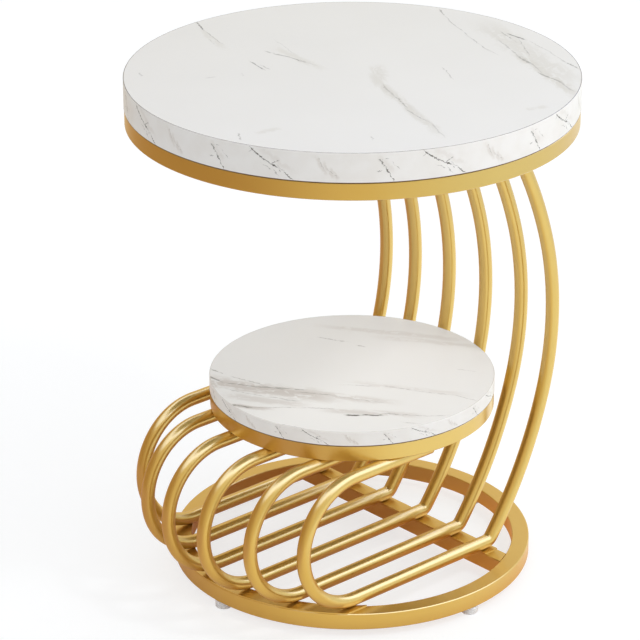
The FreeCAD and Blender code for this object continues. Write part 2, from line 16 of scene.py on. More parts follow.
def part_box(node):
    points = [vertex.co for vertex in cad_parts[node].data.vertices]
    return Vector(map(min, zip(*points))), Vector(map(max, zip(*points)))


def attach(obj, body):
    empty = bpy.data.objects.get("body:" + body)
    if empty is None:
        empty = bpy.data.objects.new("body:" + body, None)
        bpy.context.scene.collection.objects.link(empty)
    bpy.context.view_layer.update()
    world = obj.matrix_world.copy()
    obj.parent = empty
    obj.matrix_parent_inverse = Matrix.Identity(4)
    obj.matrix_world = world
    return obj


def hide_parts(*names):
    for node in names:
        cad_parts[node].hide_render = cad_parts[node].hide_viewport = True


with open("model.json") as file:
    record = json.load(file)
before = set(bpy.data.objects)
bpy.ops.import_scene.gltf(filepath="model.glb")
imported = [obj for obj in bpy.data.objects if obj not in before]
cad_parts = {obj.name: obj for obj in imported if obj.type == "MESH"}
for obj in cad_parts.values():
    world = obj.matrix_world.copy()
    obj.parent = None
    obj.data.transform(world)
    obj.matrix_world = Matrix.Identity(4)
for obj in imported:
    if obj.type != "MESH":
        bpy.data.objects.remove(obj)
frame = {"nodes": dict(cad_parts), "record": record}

MM = 0.001
scene = bpy.context.scene
nodes = frame["nodes"]
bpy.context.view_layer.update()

# %% [markdown]
# ## The camera
# The photograph looks down at the table from its front right with a long lens, so upright lines stay nearly
# parallel. A camera can be aimed with a constraint, but a plain position and turn say more: here the camera
# stands at a distance and two angles from a point inside the table, and is turned a touch about its view.
# The Standard view shows colours as they are, so tones can be compared with the photograph's.

# %% Camera
AIM = Vector((0.01137, -0.06061, 0.3259))
DISTANCE = 3.8465
AZIMUTH = math.radians(48.02)
ELEVATION = math.radians(23.42)
ROLL = math.radians(-0.16)
TO_CAMERA = Vector((math.sin(AZIMUTH) * math.cos(ELEVATION),
                    -math.cos(AZIMUTH) * math.cos(ELEVATION),
                    math.sin(ELEVATION)))
TO_RIGHT = Vector((math.cos(AZIMUTH), math.sin(AZIMUTH), 0))
TO_BACK = Vector((-math.sin(AZIMUTH), math.cos(AZIMUTH), 0))

camera = bpy.data.objects.new("camera", bpy.data.cameras.new("camera"))
camera.data.lens = 187.53
camera.data.sensor_width = 36
camera.data.clip_end = 200
camera.location = AIM + DISTANCE * TO_CAMERA
look = (-TO_CAMERA).to_track_quat("-Z", "Y").to_matrix().to_4x4()
camera.rotation_euler = (look @ Matrix.Rotation(ROLL, 4, "Z")).to_euler()
scene.collection.objects.link(camera)
scene.camera = camera
scene.view_settings.view_transform = "Standard"
print("camera at", [round(v, 3) for v in camera.location])

# %% [markdown]
# ## Writing node trees in few lines
# A finish is a tree of nodes. Adding each node and each link by hand takes many lines, so small helpers do
# it. One adds any node with its settings and inputs. The others do sums, stretch a range of numbers, mix
# colours, make cloudy noise, start a finish, fill in its sockets and emboss it.

# %% Helpers for node trees
def add(tree, kind, feeds=None, **settings):
    """A node of that kind, with its settings made and its inputs typed in or linked."""
    node = tree.nodes.new(kind)
    for name, value in settings.items():
        setattr(node, name, value)
    for name, value in (feeds or {}).items():
        if isinstance(value, bpy.types.NodeSocket):
            tree.links.new(value, node.inputs[name])
        else:
            node.inputs[name].default_value = value
    return node


def maths(tree, operation, first, second=0.0, third=0.0):
    """The result of a sum."""
    return add(tree, "ShaderNodeMath", {0: first, 1: second, 2: third}, operation=operation).outputs[0]


def stretch(tree, value, low, high, to_low=0.0, to_high=1.0):
    """A value taken smoothly from one range to another, and held at its ends."""
    feeds = {"Value": value, "From Min": low, "From Max": high, "To Min": to_low, "To Max": to_high}
    return add(tree, "ShaderNodeMapRange", feeds, interpolation_type="SMOOTHSTEP").outputs[0]


def blend(tree, share, first, second):
    """A colour between two colours."""
    return add(tree, "ShaderNodeMix", {0: share, 6: first, 7: second}, data_type="RGBA").outputs[2]


def noise(tree, place, scale, detail=3.0, rough=0.5):
    """Cloudy numbers about a half, with lumps of about one over the scale."""
    feeds = {"Vector": place, "Scale": scale, "Detail": detail, "Roughness": rough}
    return add(tree, "ShaderNodeTexNoise", feeds).outputs["Fac"]


# Cloudy noise seldom leaves the first range. The second is narrower, and gives more contrast.
SOFT, CRISP = (0.25, 0.75), (0.3, 0.7)


def new_finish(name):
    """A material with its tree, its surface shader and the place of each point in metres."""
    finish = bpy.data.materials.new(name)
    finish.use_nodes = True
    tree = finish.node_tree
    place = add(tree, "ShaderNodeTexCoord").outputs["Object"]
    return finish, tree, tree.nodes["Principled BSDF"], place


def set_inputs(shader, **values):
    """Types numbers and colours into a shader's sockets."""
    for name, value in values.items():
        shader.inputs[name.replace("_", " ")].default_value = value


def emboss(tree, shader, height, distance, strength=1.0):
    """Lets a height pattern tilt the surface's light."""
    bump = add(tree, "ShaderNodeBump", {"Height": height, "Distance": distance, "Strength": strength})
    tree.links.new(bump.outputs[0], shader.inputs["Normal"])


print("helpers ready")

# %% [markdown]
# ## Floor and light
# The photograph is a studio picture with soft light, more of it from the right, on a white floor without
# edges. A floor bright enough to look white would also light the table from below. So this floor is a plain
# grey that takes shadows, and it adds a glow that lights nothing. The eye and glass see that glow as white.
# Mirrors see that glow painted: brown on the left, pale on the right, and dark inside the base ring, a
# painted shadow where the shelf shades the floor. That painted reflection gives the metal its brown flanks.
# The light comes from the world's walls, and from one small lamp above the front right that mirrors don't
# see.

# %% Floor
FLOOR_REACH = 60
WHITE_GLOW, NO_GLOW = (0.67, 0.67, 0.67, 1), (0, 0, 0, 1)
# The glow that mirrors see is painted light: left, middle and right tones for the open floor, and darker ones
# for a painted shadow inside the base ring.
OPEN_GLOW = (0.30, 0.09, 0.0, 1), (0.70, 0.60, 0.30, 1), (0.84, 0.90, 0.80, 1)
SHADED_GLOW = (0.17, 0.035, 0.0, 1), (0.21, 0.045, 0.0, 1), (0.50, 0.19, 0.02, 1)
OPEN_REACH, SHADED_REACH = 0.4, 0.2
SHADE_INSIDE, SHADE_OUTSIDE = 0.19, 0.27
floor_mesh = bpy.data.meshes.new("floor")
corners = [(-FLOOR_REACH, -FLOOR_REACH, 0), (FLOOR_REACH, -FLOOR_REACH, 0),
           (FLOOR_REACH, FLOOR_REACH, 0), (-FLOOR_REACH, FLOOR_REACH, 0)]
floor_mesh.from_pydata(corners, [], [(0, 1, 2, 3)])
floor = bpy.data.objects.new("floor", floor_mesh)
scene.collection.objects.link(floor)


def seen_directly(tree):
    """1 for rays of the camera, of mirrors and of glass, and 0 for the rays that light the table."""
    path = add(tree, "ShaderNodeLightPath").outputs
    seen = maths(tree, "MAXIMUM", path["Is Camera Ray"], path["Is Glossy Ray"])
    return maths(tree, "MAXIMUM", seen, path["Is Transmission Ray"])


def how_far_right(tree, place):
    """How far a place or a direction lies towards the picture's right."""
    product = add(tree, "ShaderNodeVectorMath", {0: place, 1: TO_RIGHT}, operation="DOT_PRODUCT")
    return product.outputs["Value"]


def side_to_side(tree, place, reach, left, middle, right):
    """A colour that changes from the picture's left over the middle to its right."""
    across = how_far_right(tree, place)
    near = blend(tree, stretch(tree, across, -reach, 0.0), left, middle)
    return blend(tree, stretch(tree, across, 0.0, reach), near, right)


finish, tree, shader, place = new_finish("pale_floor")
set_inputs(shader, Roughness=0.9, Specular_IOR_Level=0.1, Emission_Strength=1.0)
paint = blend(tree, noise(tree, place, 3), (0.36, 0.373, 0.385, 1), (0.38, 0.393, 0.405, 1))
tree.links.new(paint, shader.inputs["Base Color"])
in_open = side_to_side(tree, place, OPEN_REACH, *OPEN_GLOW)
in_shade = side_to_side(tree, place, SHADED_REACH, *SHADED_GLOW)
from_middle = add(tree, "ShaderNodeVectorMath", {0: place}, operation="LENGTH").outputs["Value"]
# Painted shadow: the mirrored glow darkens inside the base ring, where the shelf shades the floor.
mirrored = blend(tree, stretch(tree, from_middle, SHADE_INSIDE, SHADE_OUTSIDE), in_shade, in_open)
path = add(tree, "ShaderNodeLightPath").outputs
glow = blend(tree, path["Is Glossy Ray"], WHITE_GLOW, mirrored)
glow = blend(tree, seen_directly(tree), NO_GLOW, glow)
tree.links.new(glow, shader.inputs["Emission Color"])
finish.cycles.emission_sampling = "NONE"
floor_mesh.materials.append(finish)
print("floor", 2 * FLOOR_REACH, "m wide")

# %% World and key lamp
WALLS, CEILING = 1.42, 0.15
WALL_END, CEILING_START = 0.6, 0.9
LEFT_SHARE, RIGHT_SHARE = 0.78, 1.20
world = bpy.data.worlds.new("studio")
scene.world = world
world.use_nodes = True
tree = world.node_tree
way = add(tree, "ShaderNodeTexCoord").outputs["Generated"]
upward = add(tree, "ShaderNodeSeparateXYZ", {0: way}).outputs["Z"]
sides = stretch(tree, how_far_right(tree, way), -1.0, 1.0, LEFT_SHARE, RIGHT_SHARE)
fill = maths(tree, "MULTIPLY", stretch(tree, upward, WALL_END, CEILING_START, WALLS, CEILING), sides)
level = add(tree, "ShaderNodeMix", {0: seen_directly(tree), 2: fill, 3: 1.0}).outputs[0]
sky = tree.nodes["Background"]
sky.inputs["Color"].default_value = (1, 1, 1, 1)
tree.links.new(level, sky.inputs["Strength"])

UP = Vector((0, 0, 1))
MIDDLE = Vector((0, 0, 0.3))
KEY_DISTANCE = 2.3
KEY_PLACE = MIDDLE + KEY_DISTANCE * (0.57 * TO_RIGHT - 0.33 * TO_BACK + 0.75 * UP)
lamp = bpy.data.lights.new("key", "AREA")
lamp.size = 0.3
lamp.energy = 9
key = bpy.data.objects.new("key", lamp)
key.location = KEY_PLACE
key.rotation_euler = (MIDDLE - KEY_PLACE).to_track_quat("-Z", "Y").to_euler()
key.visible_glossy = False
scene.collection.objects.link(key)
print("walls at", WALLS, "and ceiling at", CEILING, "with one key lamp")

# %% [markdown]
# ## Cards for the metal
# A metal shows its surroundings, so a photographer shapes its highlights with cards. Lamps could do the
# same, but they would also light the boards. Here a round card stands about the table with a lid on it, and
# only mirrors see them. Low down they are dim and warm on the left and bright on the right. Towards the top
# they are brighter still and bluish, which turns the gold's yellow highlights to cream.

# %% Round card and lid
def stand_card(name, rows):
    """A studio card between two rows of points, which only mirrors see."""
    steps = len(rows[0]) - 1
    faces = [(n, n + 1, n + steps + 2, n + steps + 1) for n in range(steps)]
    mesh = bpy.data.meshes.new(name)
    mesh.from_pydata([*rows[0], *rows[1]], [], faces)
    card = bpy.data.objects.new(name, mesh)
    card.visible_camera = False
    card.visible_diffuse = False
    card.visible_transmission = False
    card.visible_shadow = False
    scene.collection.objects.link(card)
    finish, tree, shader, place = new_finish(name)
    set_inputs(shader, Base_Color=(0, 0, 0, 1), Specular_IOR_Level=0.0, Emission_Strength=1.0)
    finish.cycles.emission_sampling = "NONE"
    mesh.materials.append(finish)
    return tree, shader, place


CARD_RADIUS, CARD_TOP, CARD_STEPS = 1.25, 1.6, 32
LID_HOLE = 0.01
LOW_GLOW = (0.50, 0.32, 0.16, 1), (0.87, 0.77, 0.51, 1), (0.95, 1.05, 1.05, 1)
HIGH_GLOW = (1.38, 1.65, 2.5, 1), (1.85, 2.3, 4.0, 1), (1.95, 2.45, 4.2, 1)
HIGH_FROM, HIGH_FROM_AT_RIGHT, HIGH_RAMP = 1.35, 0.5, 0.3
TURN_START, TURN_END = 0.3 * CARD_RADIUS, 0.8 * CARD_RADIUS


def light_up(tree, shader, place):
    """Makes a card dim and warm low on the left, and bright and cool to the right and towards its top."""
    low = side_to_side(tree, place, CARD_RADIUS, *LOW_GLOW)
    high = side_to_side(tree, place, CARD_RADIUS, *HIGH_GLOW)
    height = add(tree, "ShaderNodeSeparateXYZ", {0: place}).outputs["Z"]
    across = how_far_right(tree, place)
    start = stretch(tree, across, TURN_START, TURN_END, HIGH_FROM, HIGH_FROM_AT_RIGHT)
    share = stretch(tree, maths(tree, "SUBTRACT", height, start), 0.0, HIGH_RAMP)
    tree.links.new(blend(tree, share, low, high), shader.inputs["Emission Color"])


turns = [2 * math.pi * step / CARD_STEPS for step in range(CARD_STEPS + 1)]
circle = [CARD_RADIUS * (math.cos(turn) * TO_RIGHT + math.sin(turn) * TO_BACK) for turn in turns]
rim = [point + CARD_TOP * UP for point in circle]
light_up(*stand_card("round_card", (circle, rim)))
hole = [CARD_TOP * UP + LID_HOLE * point for point in circle]
light_up(*stand_card("lid_card", (rim, hole)))
print("a round card and a lid")

# %% [markdown]
# ## Satin gold
# The frame is steel tube under a satin gold lacquer. A metal's look is mostly what it mirrors, so the
# shader is mostly metallic with a middling roughness, and a strong clear coat adds pale highlights. Two
# gold tones drift into each other, the roughness varies like a hand-polished finish does, and a very fine
# bump breaks up the mirror as lacquer on drawn tube does.

# %% Gold finish
GLOSS_DRIFT = 0.02


def make_gold(name, light_tone, deep_tone, metal, rough):
    """A satin gold whose tone, gloss and skin vary a little."""
    finish, tree, shader, place = new_finish(name)
    set_inputs(shader, Metallic=metal, Specular_Tint=(1.0, 0.78, 0.5, 1))
    set_inputs(shader, Coat_Weight=0.8, Coat_IOR=1.9, Coat_Roughness=0.2)
    drift = stretch(tree, noise(tree, place, 9), *CRISP)
    tree.links.new(blend(tree, drift, deep_tone, light_tone), shader.inputs["Base Color"])
    polish = noise(tree, place, 160, 4)
    satin = stretch(tree, polish, *SOFT, rough - GLOSS_DRIFT, rough + GLOSS_DRIFT)
    tree.links.new(satin, shader.inputs["Roughness"])
    emboss(tree, shader, noise(tree, place, 1400, 2), distance=0.02 * MM, strength=0.03)
    return finish


gold = make_gold("satin_gold", (0.67, 0.436, 0.086, 1), (0.65, 0.418, 0.078, 1), metal=0.85, rough=0.30)
plug_gold = make_gold("plug_gold", (0.66, 0.42, 0.13, 1), (0.60, 0.37, 0.11, 1), metal=0.55, rough=0.42)
print("gold finishes", gold.name, plug_gold.name)

# %% [markdown]
# ## The marble print
# Both boards carry a printed marble film: white, with thin broken veins that run mostly one way, and soft
# beige clouds beside them. A wave texture gives stripes that repeat, and a picture isn't allowed, so each
# vein is written as a short line with a place, a turn, a length and a width. One node group draws any of
# them: it turns the point into the vein's own direction and fades with the distance along and across.
# Before that, the points are pushed about by noise, which bends and frays all veins together, as in stone.

# %% One vein as a node group
FRAY, LEAST_WIDTH = 1.6, 0.2
FULL_ACROSS, FULL_ALONG = 0.15, 0.45
BROKEN_GRAIN, WHOLE_GRAIN, BROKEN_SHADE = 0.32, 0.52, 0.25


def make_vein_tree():
    """How strongly a vein marks a point, from 0 to its strength."""
    tree = bpy.data.node_groups.new("vein", "ShaderNodeTree")
    for name, kind in (("Place", "Vector"), ("Middle", "Vector"), ("Turn", "Float"), ("Half length", "Float"),
                       ("Half width", "Float"), ("Strength", "Float"), ("Grain", "Float")):
        tree.interface.new_socket(name, in_out="INPUT", socket_type=f"NodeSocket{kind}")
    tree.interface.new_socket("Shade", in_out="OUTPUT", socket_type="NodeSocketFloat")
    given = add(tree, "NodeGroupInput").outputs
    offset = add(tree, "ShaderNodeVectorMath", {0: given["Place"], 1: given["Middle"]}, operation="SUBTRACT")
    turned = add(tree, "ShaderNodeVectorRotate", {"Vector": offset.outputs[0], "Angle": given["Turn"]},
                 rotation_type="Z_AXIS", invert=True)
    axes = add(tree, "ShaderNodeSeparateXYZ", {0: turned.outputs[0]}).outputs
    along = maths(tree, "DIVIDE", maths(tree, "ABSOLUTE", axes["X"]), given["Half length"])
    across = maths(tree, "DIVIDE", maths(tree, "ABSOLUTE", axes["Y"]), given["Half width"])
    frayed = maths(tree, "DIVIDE", across, maths(tree, "MULTIPLY_ADD", given["Grain"], FRAY, LEAST_WIDTH))
    inside = stretch(tree, frayed, 1.0, FULL_ACROSS)
    ending = stretch(tree, along, 1.0, FULL_ALONG)
    unbroken = stretch(tree, given["Grain"], BROKEN_GRAIN, WHOLE_GRAIN, BROKEN_SHADE, 1.0)
    mark = maths(tree, "MULTIPLY", maths(tree, "MULTIPLY", inside, ending), unbroken)
    shade = maths(tree, "MULTIPLY", mark, given["Strength"])
    add(tree, "NodeGroupOutput", {"Shade": shade})
    return tree


VEIN = make_vein_tree()
print("vein group with", len(VEIN.nodes), "nodes")

# %% Drawing many veins on a print
def draw_veins(tree, place, grain, veins):
    """The strongest mark of a list of veins: x, y, turn in degrees, half length, half width and strength."""
    darkest = None
    for x, y, turn, half_length, half_width, strength in veins:
        feeds = {"Place": place, "Middle": (x, y, 0), "Turn": math.radians(turn), "Half length": half_length,
                 "Half width": half_width, "Strength": strength, "Grain": grain}
        shade = add(tree, "ShaderNodeGroup", feeds, node_tree=VEIN).outputs[0]
        darkest = shade if darkest is None else maths(tree, "MAXIMUM", darkest, shade)
    return darkest


def push(tree, place, scale, reach):
    """Points pushed about by cloudy noise."""
    feeds = {"Vector": place, "Scale": scale, "Detail": 2.0}
    clouds = add(tree, "ShaderNodeTexNoise", feeds).outputs["Color"]
    half = (0.5, 0.5, 0.5)
    centred = add(tree, "ShaderNodeVectorMath", {0: clouds, 1: half}, operation="SUBTRACT").outputs[0]
    shift = add(tree, "ShaderNodeVectorMath", {0: centred, "Scale": reach}, operation="SCALE").outputs[0]
    return add(tree, "ShaderNodeVectorMath", {0: place, 1: shift}, operation="ADD").outputs[0]


VEIN_TONE = (0.10, 0.09, 0.08, 1)
STREAK_SIZE = (48, 7, 1)
SHADE_OF_WHITE = 0.985


def make_print(name, ground_with_painted_light, cloud_tone, veins, clouds, streak_turn):
    """A white marble film with its veins, its soft clouds and a satin varnish, drawn in millimetres."""
    finish, tree, shader, place = new_finish(name)
    flat = add(tree, "ShaderNodeVectorMath", {0: place, "Scale": 1 / MM}, operation="SCALE").outputs[0]
    bent = push(tree, flat, scale=0.03, reach=9.0)
    frayed = push(tree, bent, scale=0.22, reach=3.2)
    grain = noise(tree, flat, 0.16, 3)
    feeds = {"Vector": bent, "Rotation": (0, 0, math.radians(streak_turn)), "Scale": STREAK_SIZE}
    streaks = add(tree, "ShaderNodeMapping", feeds, vector_type="TEXTURE").outputs[0]
    soft = draw_veins(tree, bent, noise(tree, streaks, 1.0, 4, 0.55), clouds)
    thin = draw_veins(tree, frayed, grain, veins)
    pale = stretch(tree, noise(tree, flat, 0.008, 3), *CRISP)
    # The ground colour carries the painted light and shade of its board.
    white = blend(tree, pale, ground_with_painted_light, tuple(c * SHADE_OF_WHITE for c in ground_with_painted_light[:3]) + (1,))
    clouded = blend(tree, soft, white, cloud_tone)
    veined = blend(tree, thin, clouded, VEIN_TONE)
    tree.links.new(veined, shader.inputs["Base Color"])
    gloss = noise(tree, place, 220, 3)
    tree.links.new(stretch(tree, gloss, *SOFT, 0.30, 0.38), shader.inputs["Roughness"])
    set_inputs(shader, IOR=1.46, Specular_IOR_Level=0.18)
    emboss(tree, shader, noise(tree, place, 900, 2), distance=0.02 * MM, strength=0.15)
    return finish


print("print helpers ready")

# %% [markdown]
# ## The veins of the two prints
# On the top the veins run from the left and behind to the right and the front, with a cloudy cluster near
# the right edge. On the shelf they run the other way and gather in a watery band across the front. Each row
# has a vein's x and y, its turn in degrees, its half length, its half width and its strength. The lengths
# are millimetres on the board, seen from above.

# %% Top and shelf prints
TOP_VEINS = [
    (-244, -20, -28, 20, 1.6, 0.75), (-202, -35, -15, 34, 0.9, 0.40), (-190, -47, -20, 16, 1.0, 0.16),
    (-112, -21, 4, 16, 2.0, 0.40), (-86, -18, 8, 34, 1.1, 0.60), (-60, -13, 2, 18, 0.9, 0.35),
    (-119, 3, -17, 36, 0.7, 0.20), (-92, -64, -8, 22, 1.3, 0.65), (-82, -60, -4, 12, 1.0, 0.40),
    (-97, -130, 65, 8, 1.6, 0.20), (-80, -95, -30, 6, 1.6, 0.22),
    (-90, 226, -30, 14, 1.5, 0.50), (-40, 203, -22, 50, 0.9, 0.42), (22, 178, -18, 42, 0.9, 0.38),
    (56, 169, -16, 16, 1.0, 0.20), (36, 228, -9, 22, 1.7, 0.85), (28, 222, -20, 26, 1.1, 0.50),
    (70, 206, -34, 34, 1.0, 0.36), (100, 216, -14, 60, 0.8, 0.30), (146, 203, -17, 24, 1.7, 0.62),
    (100, 175, -16, 20, 2.2, 0.50), (60, 191, -24, 40, 1.5, 0.30), (163, 153, -8, 26, 1.9, 0.55),
    (190, 147, -15, 30, 1.4, 0.34), (118, 170, -22, 40, 1.2, 0.30),
    (72, -10, -24, 28, 1.2, 0.30), (110, -27, -24, 26, 1.5, 0.42), (150, -43, -14, 30, 1.2, 0.40),
    (196, -58, -24, 34, 1.2, 0.24), (74, 79, -25, 26, 0.9, 0.34), (72, -231, -31, 14, 1.6, 0.45),
    (171, -130, -25, 8, 1.4, 0.28), (-157, -180, -17, 7, 1.6, 0.28),
]
TOP_CLOUDS = [
    (85, 196, -19, 150, 24, 0.30), (150, 160, -20, 110, 13, 0.42), (28, 14, -40, 46, 13, 0.32),
    (120, -30, -22, 120, 9, 0.40), (79, -196, 80, 18, 7, 0.25), (224, 70, 70, 18, 7, 0.25),
    (-80, -12, -5, 60, 9, 0.25), (-200, -40, -18, 50, 7, 0.20),
]
SHELF_VEINS = [
    (-92, -134, 8, 18, 1.5, 0.60), (-108, -118, 12, 16, 1.5, 0.55), (-64, -108, 16, 26, 1.2, 0.45),
    (-52, -116, 34, 36, 1.4, 0.50), (-14, -88, 36, 24, 1.7, 0.55), (-28, -99, 24, 16, 1.6, 0.50),
    (18, -74, 34, 30, 1.2, 0.34), (60, -49, 28, 40, 1.0, 0.28), (-15, -161, 34, 16, 2.0, 0.75),
    (16, -132, 46, 38, 0.9, 0.42), (50, -98, 40, 24, 1.0, 0.42),
    (92, -80, 43, 12, 2.4, 1.00), (106, -66, 43, 14, 2.6, 1.00),
    (122, -44, 40, 20, 1.2, 0.50), (150, -18, 47, 26, 1.0, 0.34), (150, -47, 36, 14, 1.2, 0.40),
    (34, -22, 44, 26, 1.0, 0.35), (72, 8, 26, 24, 1.0, 0.42), (108, 28, 33, 26, 0.9, 0.36),
    (144, 47, 20, 20, 0.9, 0.36), (-85, 46, 26, 22, 1.0, 0.60), (-49, 57, 26, 8, 1.2, 0.45),
    (89, 102, 31, 14, 0.9, 0.28), (60, -155, 26, 26, 1.2, 0.45), (95, -139, 24, 20, 1.0, 0.40),
    (-40, -132, 24, 34, 1.3, 0.26), (4, -110, 30, 26, 1.4, 0.34),
]
SHELF_CLOUDS = [
    (-30, -108, 30, 110, 20, 0.46), (30, -66, 32, 100, 12, 0.32), (-8, -128, 30, 60, 12, 0.28),
    (100, -62, 40, 70, 9, 0.30), (-50, 112, 34, 110, 9, 0.20), (0, 128, 34, 80, 8, 0.18),
    (-10, -158, 36, 40, 7, 0.40), (80, 16, 32, 90, 8, 0.16),
]
# The film is one white in life. The top's ground is painted darker and the shelf's painted lighter, as
# painted shade and painted light for how each board is lit.
top_print = make_print("top_marble_print", (0.79, 0.785, 0.765, 1), (0.52, 0.49, 0.42, 1),
                       TOP_VEINS, TOP_CLOUDS, streak_turn=-28)
shelf_print = make_print("shelf_marble_print", (0.875, 0.88, 0.878, 1), (0.38, 0.31, 0.26, 1),
                         SHELF_VEINS, SHELF_CLOUDS, streak_turn=32)
print(len(TOP_VEINS), "veins on the top,", len(SHELF_VEINS), "on the shelf")

# %% [markdown]
# ## Edge bands
# The rim of each board is a band of the same film, and its print repeats round the edge: a long diagonal
# crack, a beige smudge and a short crack. The band's own coordinates are the way round the rim and the
# height, so the point's angle is worked out from its place, and the print starts over after each repeat.
# The join of the band lies behind the table. Where the band meets the face, a thin dark seam runs round the
# rim, fainter on the shelf. A matt brown line along the band's lower edge is a painted shadow, for the shade
# in the gap above the ring.

# %% Edge finish
# The print's own size in millimetres, which each band stretches to its repeat and its thickness.
PRINT_REPEAT, PRINT_HEIGHT = 191.0, 34.5
# The band's two whites are painted lighter than the top's film, as painted light on the upright rim.
BAND_WHITE_PAINTED_LIGHTER, BAND_CREAM_PAINTED_LIGHTER = (0.91, 0.893, 0.868, 1), (0.875, 0.85, 0.815, 1)
SMUDGE_TONE, CRACK_TONE = (0.50, 0.43, 0.36, 1), (0.08, 0.07, 0.06, 1)
SEAM_TONE, SHADOW_TONE = (0.13, 0.11, 0.10, 1), (0.15, 0.06, 0.008, 1)
SEAM_START, SEAM_END = 0.15 * MM, 0.4 * MM
SHADOW_TOP, SHADOW_FULL, SHADOW_SHADE = 1.3 * MM, 0.7 * MM, 0.9
EDGE_VEINS = [
    (18, 28, -36, 14, 0.7, 0.95), (34, 17, -28, 13, 0.8, 1.00), (52, 7, -38, 14, 0.7, 1.00),
    (39, 19, 30, 7, 0.6, 0.85), (44, 12, -58, 6, 0.5, 0.75), (30, 13, -30, 9, 0.4, 0.50),
    (40, 8, -52, 8, 0.4, 0.45), (156, 22, -48, 8, 0.7, 0.80), (164, 9, -60, 11, 0.7, 0.95),
    (158, 26, 22, 7, 0.5, 0.55), (153, 14, 10, 4, 0.5, 0.60), (170, 19, -52, 8, 0.5, 0.50),
    (12, 30, 40, 6, 0.5, 0.50), (90, 22, -62, 10, 0.4, 0.40), (102, 12, -50, 9, 0.4, 0.40),
]
EDGE_CLOUDS = [
    (90, 20, -58, 15, 3.5, 0.28), (98, 15, -60, 13, 3.0, 0.30), (104, 11, -58, 10, 3.0, 0.26),
    (40, 22, -30, 28, 5.0, 0.16), (160, 20, -50, 16, 5.0, 0.16),
]


def make_edge(name, radius, bottom, thickness, repeat, start, seam_shade):
    """The printed band round a board's rim, with a dark seam above and a painted shadow line below."""
    finish, tree, shader, place = new_finish(name)
    feeds = {"Vector": place, "Rotation": (0, 0, math.pi / 2 - AZIMUTH)}
    axes = add(tree, "ShaderNodeSeparateXYZ", {0: add(tree, "ShaderNodeMapping", feeds).outputs[0]}).outputs
    angle = maths(tree, "ARCTAN2", axes["Y"], axes["X"])
    way = maths(tree, "MULTIPLY_ADD", angle, radius / repeat, start / repeat)
    round_rim = maths(tree, "MULTIPLY", maths(tree, "FRACT", way), PRINT_REPEAT)
    rise_share = PRINT_HEIGHT / thickness
    rise = maths(tree, "MULTIPLY_ADD", axes["Z"], rise_share, -bottom * rise_share)
    film = add(tree, "ShaderNodeCombineXYZ", {0: round_rim, 1: rise}).outputs[0]
    bent = push(tree, film, scale=0.09, reach=6.0)
    frayed = push(tree, bent, scale=0.45, reach=3.6)
    grain = noise(tree, film, 0.22, 3)
    soft = draw_veins(tree, bent, grain, EDGE_CLOUDS)
    thin = draw_veins(tree, frayed, grain, EDGE_VEINS)
    pale = stretch(tree, noise(tree, place, 40, 3), *CRISP)
    white = blend(tree, pale, BAND_WHITE_PAINTED_LIGHTER, BAND_CREAM_PAINTED_LIGHTER)
    clouded = blend(tree, soft, white, SMUDGE_TONE)
    veined = blend(tree, thin, clouded, CRACK_TONE)
    flat = add(tree, "ShaderNodeVectorMath", {0: place, 1: (1, 1, 0)}, operation="MULTIPLY").outputs[0]
    reach = add(tree, "ShaderNodeVectorMath", {0: flat}, operation="LENGTH").outputs["Value"]
    # A thin dark line painted where the band meets the face, fainter on the shelf.
    seam = stretch(tree, reach, radius - SEAM_START, radius - SEAM_END, 0.0, seam_shade)
    seamed = blend(tree, seam, veined, SEAM_TONE)
    # Painted shadow: the band turns matt brown towards its lower edge, for the shade in the gap above the
    # ring.
    shadow = stretch(tree, axes["Z"], bottom + SHADOW_TOP, bottom + SHADOW_FULL, 0.0, SHADOW_SHADE)
    tree.links.new(blend(tree, shadow, seamed, SHADOW_TONE), shader.inputs["Base Color"])
    satin = stretch(tree, noise(tree, place, 220, 3), *SOFT, 0.28, 0.36)
    tree.links.new(maths(tree, "MAXIMUM", satin, shadow), shader.inputs["Roughness"])
    set_inputs(shader, IOR=1.46, Specular_IOR_Level=0.18)
    emboss(tree, shader, noise(tree, place, 700, 2), distance=0.02 * MM, strength=0.2)
    return finish


def board_of(tier):
    """A board's radius, its bottom and its thickness, from its edge band."""
    low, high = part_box(f"{tier}_edge_band")
    return high.x, low.z, high.z - low.z


top_edge = make_edge("top_edge_print", *board_of("top"), repeat=191 * MM, start=126 * MM, seam_shade=0.85)
shelf_edge = make_edge("shelf_edge_print", *board_of("shelf"), repeat=128 * MM, start=67.1 * MM,
                       seam_shade=0.25)
print("edge bands", [round(v, 4) for v in board_of("top")], [round(v, 4) for v in board_of("shelf")])

# %% [markdown]
# ## Hidden and plain finishes
# Under the boards lies a balancing sheet, matt and faintly fibrous, over a core of fibreboard. The screws,
# studs and inserts are zinc plated, which is bright but mottled, and the feet are moulded in a hazy plastic
# between clear and milky. Each finish gets its own small pattern, because most of them show when the table
# is turned over.

# %% Sheet, core, zinc and clear plastic
def make_matt(name, first, second, scale, rough, grit):
    """A matt surface of two mixed tones with a fine tooth."""
    finish, tree, shader, place = new_finish(name)
    fibres = stretch(tree, noise(tree, place, scale, 5, 0.65), 0.35, 0.65)
    tree.links.new(blend(tree, fibres, first, second), shader.inputs["Base Color"])
    set_inputs(shader, Roughness=rough, Specular_IOR_Level=0.25)
    emboss(tree, shader, noise(tree, place, scale * 3, 3), distance=grit, strength=0.4)
    return finish


